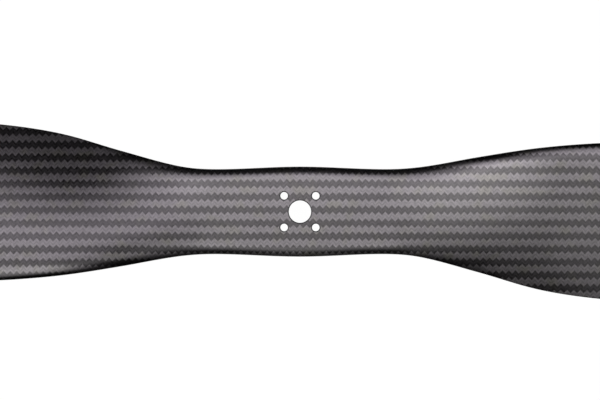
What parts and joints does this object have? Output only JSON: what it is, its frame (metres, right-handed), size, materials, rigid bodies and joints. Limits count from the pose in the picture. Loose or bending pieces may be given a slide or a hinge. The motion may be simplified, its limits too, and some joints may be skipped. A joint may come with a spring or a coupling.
{
  "type": "propeller",
  "caption": "Fixed-pitch multirotor propeller in moulded carbon twill, with a flat drilled hub for a motor's face and slim twisted blades",
  "frame": {"origin": "middle of the hub's thickness on the spin axis, which is also the middle of the bounding box to within a few millimetres", "axes": "+Z is the spin axis and points away from the motor, +X runs out along one blade, and +Y is that blade's leading-edge side"},
  "size_m": [0.762, 0.0806, 0.0272],
  "materials": {
    "carbon_twill": "2x2 carbon twill at 45 degrees under a clear gloss coat",
    "carbon_strap": "unidirectional carbon strap, resin-wet",
    "laminate": "solid carbon laminate, machined edge",
    "foam": "rigid foam core",
    "balsa": "end-grain balsa"
  },
  "bodies": {
    "root": {"upper_skin": "carbon_twill", "lower_skin": "carbon_twill", "upper_spar_cap": "carbon_strap", "lower_spar_cap": "carbon_strap", "upper_hub_doubler": "laminate", "lower_hub_doubler": "laminate", "hub_block": "laminate", "left_nose_roving": "carbon_strap", "right_nose_roving": "carbon_strap", "left_nose_core": "foam", "right_nose_core": "foam", "left_spar_web": "balsa", "right_spar_web": "balsa", "left_tail_core": "foam", "right_tail_core": "foam", "left_tail_strip": "carbon_strap", "right_tail_strip": "carbon_strap", "left_tip_block": "laminate", "right_tip_block": "laminate"}
  },
  "joints": []
}
